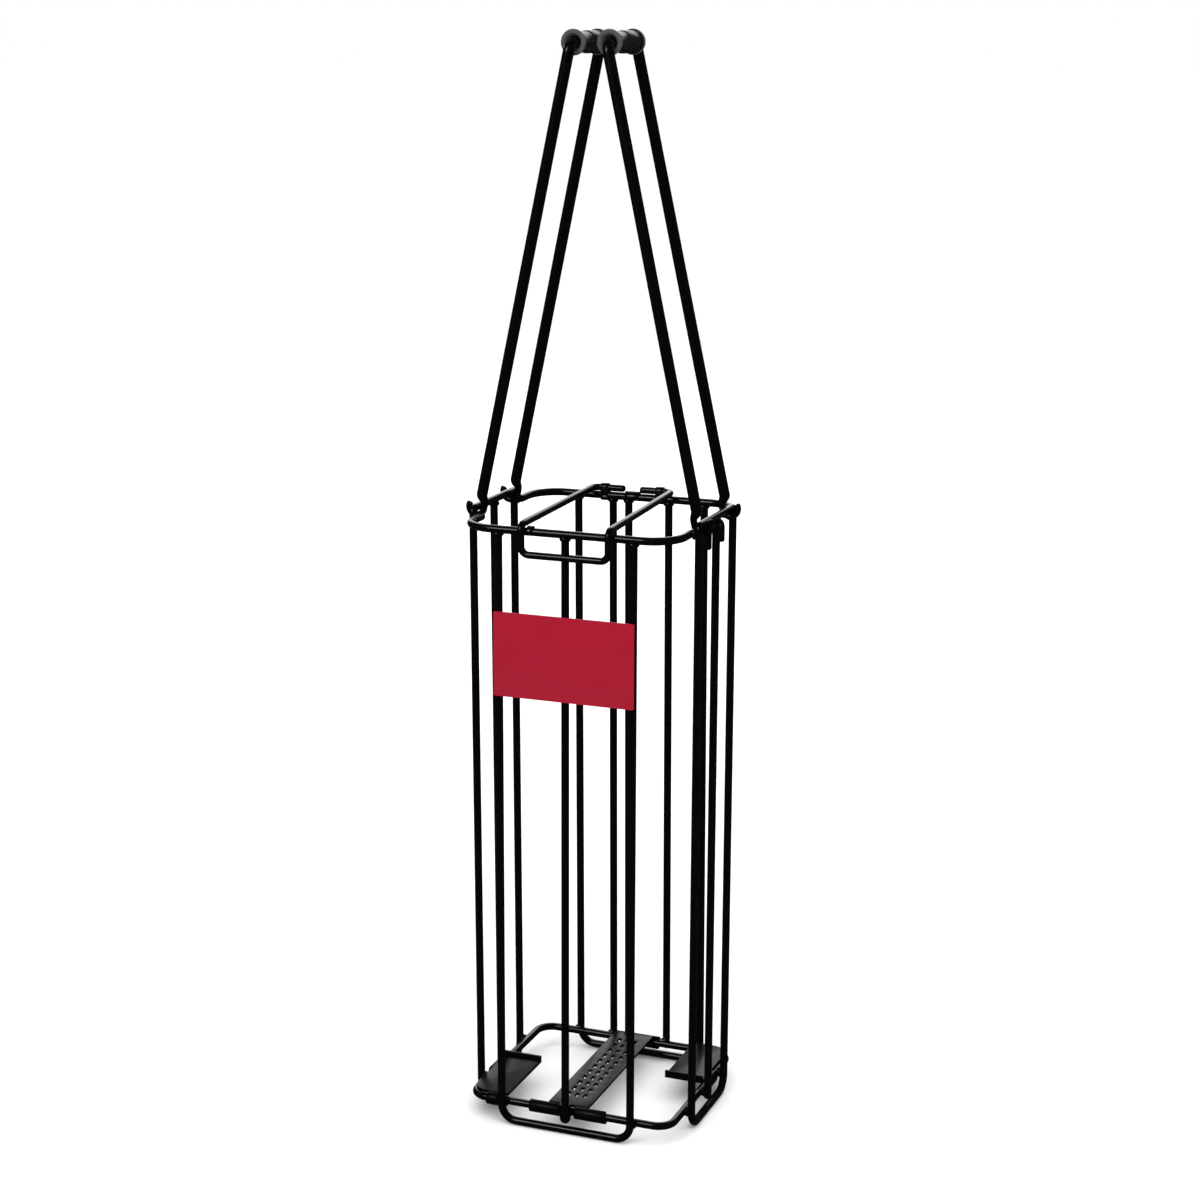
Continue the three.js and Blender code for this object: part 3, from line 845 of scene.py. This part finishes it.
plate_foot = plate_top - PLATE_HEIGHT
corners = [(-plate_x, plate_foot), (plate_x, plate_foot), (plate_x, plate_top), (-plate_x, plate_top)]
plate = draw_line("front_plate_piece", [plate_place(x, z) for x, z in corners], PLATE_CORNER, closed=True)
edit(plate)
bpy.ops.mesh.select_all(action="SELECT")
bpy.ops.mesh.edge_face_add()
settle(soften(thicken(plate, PLATE_THICK), PLATE_EDGE, steps=2), "crimson_plate", "basket", "front_plate")

# %% [markdown]
# ## Weld beads
# Where wires cross or butt, a small bead of weld metal bridges them under the coating. One bead is a
# rounded cube. It is copied to every joint and flattened there, and all the copies are joined.

# %% Weld beads
BEAD_RADIUS = 0.0021
BEAD_DEEP_SHARE = 0.62
BEAD_CUTS = 3
BEAD_ROUNDNESS = 0.85

drop_all()
bpy.ops.mesh.primitive_cube_add(size=2 * BEAD_RADIUS, location=(0.0, 0.0, 0.0))
round_bead = bpy.context.object
edit(round_bead)
bpy.ops.mesh.select_all(action="SELECT")
bpy.ops.mesh.subdivide(number_cuts=BEAD_CUTS, smoothness=1.0)
bpy.ops.transform.tosphere(value=BEAD_ROUNDNESS)


def bead(place, depth_axis):
    """A bead at a place, thin along one axis."""
    lump = copied(round_bead, "bead")
    lump.location = place
    lump.scale = [BEAD_DEEP_SHARE if axis == depth_axis else 1.0 for axis in range(3)]
    place_in_mesh()
    return lump


def between(first, second):
    """The middle of two places."""
    return tuple((Vector(first) + Vector(second)) / 2)


rear_places = (-REAR_LEG_HALF, -REAR_INNER_HALF, REAR_INNER_HALF, REAR_LEG_HALF)
end_xs = {
    -1: (-FRONT_LEG_HALF, 0.0, FRONT_LEG_HALF),
    1: (*(REAR_SHIFT + x for x in rear_places), REAR_CENTRE_PLACE),
}
beads = []
for sign, xs in end_xs.items():
    for x in xs:
        on_ring = (x, sign * RING_HALF_Y, ring_height)
        under_rim = (x, sign * RIM_HALF_Y, rim_height - WIRE_RADIUS)
        beads.append(bead(between(end_wall(sign, x, ring_height), on_ring), 1))
        beads.append(bead(between(under_rim, end_wall(sign, x, leg_top)), 2))
for sign in (-1, 1):
    for y in (-SIDE_LEG_HALF, 0.0, SIDE_LEG_HALF):
        inner = (sign * RING_HALF_X, y, ring_height)
        beads.append(bead(between(side_wall(sign, y, ring_height), inner), 0))
    for y in (-SIDE_LEG_HALF, SIDE_LEG_HALF):
        inner = (sign * rim_half_x, y, rim_height)
        beads.append(bead(between(side_wall(sign, y, rim_height), inner), 0))
beads.append(bead(side_wall(-1, 0.0, under_frame), 2))
beads.append(bead(side_wall(1, 0.0, bracket_top - BRACKET_RADIUS), 2))
beads.append(bead(side_wall(1, 0.0, bracket_top + BRACKET_RADIUS), 2))
take(round_bead)
bpy.ops.object.delete()
welds = join(beads[0], *beads[1:])
welds.name = welds.data.name = "weld_beads"
settle(tidy_surface(welds), "coated_wire", "basket")

# %% [markdown]
# ## Shader maths
# A finish is written as plain sums. One small class wraps a shader socket, so that adding, taking away
# and multiplying make the Math nodes, and one method makes any other node.

# %% A socket with operators
class Signal:
    """A shader socket that Python sums can use."""

    def __init__(self, tree, socket=None):
        self.tree, self.socket = tree, socket

    def node(self, kind, settings=None, inputs=None, output=0):
        """Adds a node, sets it, feeds its sockets and returns one of its outputs."""
        made = self.tree.nodes.new(kind)
        for key, value in (settings or {}).items():
            setattr(made, key, value)
        for key, value in (inputs or {}).items():
            if isinstance(value, Signal):
                self.tree.links.new(value.socket, made.inputs[key])
            else:
                made.inputs[key].default_value = value
        return Signal(self.tree, made.outputs[output])

    def maths(self, operation, first, second):
        """One Math node on two signals or numbers."""
        return self.node("ShaderNodeMath", {"operation": operation}, {0: first, 1: second})

    def __add__(self, other):
        return self.maths("ADD", self, other)

    def __radd__(self, other):
        return self.maths("ADD", other, self)

    def __sub__(self, other):
        return self.maths("SUBTRACT", self, other)

    def __rsub__(self, other):
        return self.maths("SUBTRACT", other, self)

    def __mul__(self, other):
        return self.maths("MULTIPLY", self, other)

    def __rmul__(self, other):
        return self.maths("MULTIPLY", other, self)


# %% Start a finish
def start_finish(name, constants):
    """A new material: its shader, a signal for its maths and the surface's own coordinates."""
    material = bpy.data.materials.new(name)
    material.use_nodes = True
    tree = material.node_tree
    shader = tree.nodes["Principled BSDF"]
    for socket, value in constants.items():
        shader.inputs[socket].default_value = value
    maker = Signal(tree)
    place = maker.node("ShaderNodeTexCoord", output="Object")
    return material, shader, maker, place


def noise(maker, place, scale, detail=3.0, roughness=0.5):
    """Even noise between 0 and 1, with its scale in lumps per metre."""
    inputs = {"Vector": place, "Scale": scale, "Detail": detail, "Roughness": roughness}
    return maker.node("ShaderNodeTexNoise", inputs=inputs)


def feed(material, shader, signals):
    """Links signals to the shader's sockets."""
    for socket, signal in signals.items():
        material.node_tree.links.new(signal.socket, shader.inputs[socket])


def blend(maker, share, first, second):
    """A colour between two colours."""
    settings = {"data_type": "RGBA"}
    return maker.node("ShaderNodeMix", settings, {0: share, 6: first, 7: second}, output=2)


def bump(maker, strength, depth, height):
    """A bumped normal from a height signal, with its depth in metres."""
    inputs = {"Strength": strength, "Distance": depth, "Height": height}
    return maker.node("ShaderNodeBump", inputs=inputs)


# %% [markdown]
# ## Black powder coat
# The wire is powder coated: deep black, half glossy, with the faint lumps of melted powder, called
# orange peel. Two sizes of noise give the lumps, and a slower one lets the gloss drift along a wire.

# %% Powder coat
COAT_BLACK = (0.0003, 0.0003, 0.0003, 1.0)
COAT_GREY = (0.0014, 0.0014, 0.0015, 1.0)
COAT_GLOSS = {"Specular IOR Level": 0.5, "Coat Weight": 0.2, "Coat Roughness": 0.12}
PEEL_SCALE = 520.0
FINE_PEEL_SCALE = 1400.0
COAT_DRIFT_SCALE = 38.0
DUST_SCALE = 130.0
PEEL_STRENGTH = 0.28
PEEL_DEPTH = 0.00018

material, shader, maker, place = start_finish("black_powder_coat", COAT_GLOSS)
peel = noise(maker, place, PEEL_SCALE, 2.0) * 0.75 + noise(maker, place, FINE_PEEL_SCALE, 1.0) * 0.25
drift = noise(maker, place, COAT_DRIFT_SCALE, 3.0, 0.6)
dust = noise(maker, place, DUST_SCALE, 4.0, 0.65)
surface = {
    "Base Color": blend(maker, dust * 0.8 + drift * 0.2, COAT_BLACK, COAT_GREY),
    "Roughness": 0.15 + drift * 0.10 + dust * 0.05,
    "Normal": bump(maker, PEEL_STRENGTH, PEEL_DEPTH, peel),
}
feed(material, shader, surface)
powder_coat = material

# %% [markdown]
# ## Moulded plastics
# The grips are satin black plastic with a fine spark-eroded grain. Their flanges, which begin at a
# distance along the sleeve, get a painted highlight: a light grey for the light on their faces. The floor
# pieces are a deeper black plastic with a coarser grain.

# %% Plastics
GRIP_GRAIN_SCALE = 2600.0
FLOOR_GRAIN_SCALE = 1900.0
PLASTIC_DRIFT_SCALE = 60.0
GRAIN_STRENGTH = 0.35
GRAIN_DEPTH = 0.00012
GRIP_SHADES = (0.0045, 0.0045, 0.0050, 1.0), (0.0110, 0.0110, 0.0120, 1.0)
# Painted highlight: a light grey and where it starts along the grip, for the light falling on the flanges'
# faces.
PAINTED_FLANGE_LIGHT = (0.080, 0.081, 0.085, 1.0), GRIP_LENGTH / 2 - FLANGE_THICK
FLOOR_SHADES = (0.0006, 0.0006, 0.0006, 1.0), (0.0024, 0.0024, 0.0025, 1.0)


def moulded(name, dark, light, grain_scale, roughness, gloss, painted_flange_light=None):
    """A grained plastic between two shades, with a painted highlight colour beyond a distance along Y."""
    material, shader, maker, place = start_finish(name, {"Specular IOR Level": gloss})
    grain = noise(maker, place, grain_scale, 3.0, 0.6)
    drift = noise(maker, place, PLASTIC_DRIFT_SCALE, 2.0)
    colour = blend(maker, grain * 0.5 + drift * 0.5, dark, light)
    # Painted highlight: past the start along Y, the flanges are coloured light grey for the light on their
    # faces.
    if painted_flange_light:
        shade, start = painted_flange_light
        along = maker.node("ShaderNodeSeparateXYZ", inputs={"Vector": place}, output="Y")
        away = along.maths("ABSOLUTE", along, 0.0)
        painted_light_mask = away.maths("GREATER_THAN", away, start)
        colour = blend(maker, painted_light_mask * (0.75 + grain * 0.25), colour, shade)
    surface = {
        "Base Color": colour,
        "Roughness": roughness + grain * 0.14 - drift * 0.06,
        "Normal": bump(maker, GRAIN_STRENGTH, GRAIN_DEPTH, grain),
    }
    feed(material, shader, surface)
    return material


grip_plastic = moulded("grip_plastic", *GRIP_SHADES, GRIP_GRAIN_SCALE, 0.24, 0.30, PAINTED_FLANGE_LIGHT)
floor_plastic = moulded("floor_plastic", *FLOOR_SHADES, FLOOR_GRAIN_SCALE, 0.26, 0.16)

# %% [markdown]
# ## Crimson plate
# The plate is printed crimson under a satin varnish. Its colour is nearly even, with a little cloudiness,
# and the varnish has slow ripples and a fine grain.

# %% Plate finish
PLATE_DARK = (0.302, 0.0020, 0.0165, 1.0)
PLATE_LIGHT = (0.336, 0.0034, 0.0205, 1.0)
VARNISH = {"Specular IOR Level": 0.16, "Coat Weight": 0.03, "Coat Roughness": 0.35}
CLOUD_SCALE = 30.0
PRINT_GRAIN_SCALE = 1500.0
RIPPLE_SCALE = 90.0
RIPPLE_STRENGTH = 0.2
RIPPLE_DEPTH = 0.00015

material, shader, maker, place = start_finish("crimson_varnish", VARNISH)
cloud = noise(maker, place, CLOUD_SCALE, 3.0, 0.55)
grain = noise(maker, place, PRINT_GRAIN_SCALE, 2.0)
ripple = noise(maker, place, RIPPLE_SCALE, 2.0)
surface = {
    "Base Color": blend(maker, cloud * 0.8 + grain * 0.2, PLATE_DARK, PLATE_LIGHT),
    "Roughness": 0.42 + cloud * 0.08 + grain * 0.04,
    "Normal": bump(maker, RIPPLE_STRENGTH, RIPPLE_DEPTH, ripple * 0.6 + grain * 0.4),
}
feed(material, shader, surface)
crimson_varnish = material

# %% Give out the finishes
finishes = {
    "coated_wire": powder_coat,
    "grip_plastic": grip_plastic,
    "floor_plastic": floor_plastic,
    "crimson_plate": crimson_varnish,
}
for slot, pieces in finished.items():
    for piece in pieces:
        piece.data.materials.clear()
        piece.data.materials.append(finishes[slot])
    print(slot, len(pieces), "pieces")

# %% [markdown]
# ## Studio
# The hopper stands on a wide white floor. A broad, soft sun lights the floor evenly, so it stays white
# to its edges, and the floor itself is kept out of the wires' reflections.

# %% Floor
FLOOR_SIZE = 60.0
BELOW = 0.0002
PAPER_SCALE = 3.0
WHITES = (0.92, 0.92, 0.92, 1.0), (0.95, 0.95, 0.95, 1.0)

drop_all()
bpy.ops.mesh.primitive_plane_add(size=FLOOR_SIZE, location=(0.0, 0.0, -BELOW))
floor = bpy.context.object
floor.name = "studio_floor"
place_in_mesh()
material, shader, maker, place = start_finish("white_paper", {"Roughness": 0.9, "Specular IOR Level": 0.1})
paper = noise(maker, place, PAPER_SCALE, 2.0)
feed(material, shader, {"Base Color": blend(maker, paper, *WHITES)})
floor.data.materials.append(material)
floor.visible_glossy = False

# %% [markdown]
# ## Light
# The black coat shows little but reflections, so what it mirrors is set apart from what lights the floor.
# A run that lies flat mirrors what stands in front on the left, so a soft light there draws the thin
# line along it, and a bright wall behind shades the bars that run away from the camera. The uprights
# mirror the dark air at their sides and stay black.

# %% Lights
SUN_STRENGTH = 3.1
SUN_SPREAD = 90
SUN_TILT = 28
SUN_TURN = 35
LIGHT_AIM = (0.0, 0.0, 0.35)


def soft_light(name, place, size, brightness):
    """A square soft light that faces the hopper, with the brightness that its own face shows."""
    data = bpy.data.lights.new(name, "AREA")
    data.shape = "SQUARE"
    data.size = size
    data.energy = brightness * math.pi * size * size
    light = bpy.data.objects.new(name, data)
    bpy.context.collection.objects.link(light)
    light.location = place
    light.rotation_euler = (Vector(LIGHT_AIM) - Vector(place)).to_track_quat("-Z", "Y").to_euler()
    light.visible_camera = False
    return light


soft_light("key", place=(-0.95, -2.05, 1.70), size=0.8, brightness=5.4)
soft_light("back_wall", place=(-0.9, 2.4, 1.70), size=2.6, brightness=1.7)
sun_data = bpy.data.lights.new("soft_sun", "SUN")
sun_data.energy = SUN_STRENGTH
sun_data.angle = math.radians(SUN_SPREAD)
sun = bpy.data.objects.new("soft_sun", sun_data)
bpy.context.collection.objects.link(sun)
sun.rotation_euler = (math.radians(SUN_TILT), 0.0, math.radians(SUN_TURN))
sun.visible_glossy = False

# %% The air
AIR_WHITE = (1.0, 1.0, 1.0, 1.0)
AIR_SEEN = 1.0
AIR_LIGHT = 0.28
AIR_MIRRORED = 0.025

world = bpy.data.worlds.new("studio_air")
bpy.context.scene.world = world
world.use_nodes = True
background = world.node_tree.nodes["Background"]
background.inputs["Color"].default_value = AIR_WHITE
maker = Signal(world.node_tree)
seen = maker.node("ShaderNodeLightPath", output="Is Camera Ray")
mirrored = maker.node("ShaderNodeLightPath", output="Is Glossy Ray")
strength = seen * (AIR_SEEN - AIR_LIGHT) + mirrored * (AIR_MIRRORED - AIR_LIGHT) + AIR_LIGHT
world.node_tree.links.new(strength.socket, background.inputs["Strength"])
bpy.context.scene.view_settings.view_transform = "Standard"

# %% [markdown]
# ## Camera
# The photograph was taken from the front, a little to the right and above, through a long lens.
# The place, turn and focal length were fitted to the rims, wires and handles in the picture.

# %% Camera
CAMERA_PLACE = (0.5410, -1.3788, 0.6914)
CAMERA_DOWN = 13.494
CAMERA_TURN = 21.617
CAMERA_LENS = 72.62
CAMERA_SENSOR = 36.0
CAMERA_SHIFT = (0.004, -0.0017)
CAMERA_NEAREST = 0.05

camera_data = bpy.data.cameras.new("photo_camera")
camera_data.lens = CAMERA_LENS
camera_data.sensor_width = CAMERA_SENSOR
camera_data.shift_x, camera_data.shift_y = CAMERA_SHIFT
camera_data.clip_start = CAMERA_NEAREST
camera = bpy.data.objects.new("photo_camera", camera_data)
bpy.context.collection.objects.link(camera)
camera.location = CAMERA_PLACE
camera.rotation_euler = (math.radians(90 - CAMERA_DOWN), 0.0, math.radians(CAMERA_TURN))
bpy.context.scene.camera = camera

# %% Finish
drop_all()
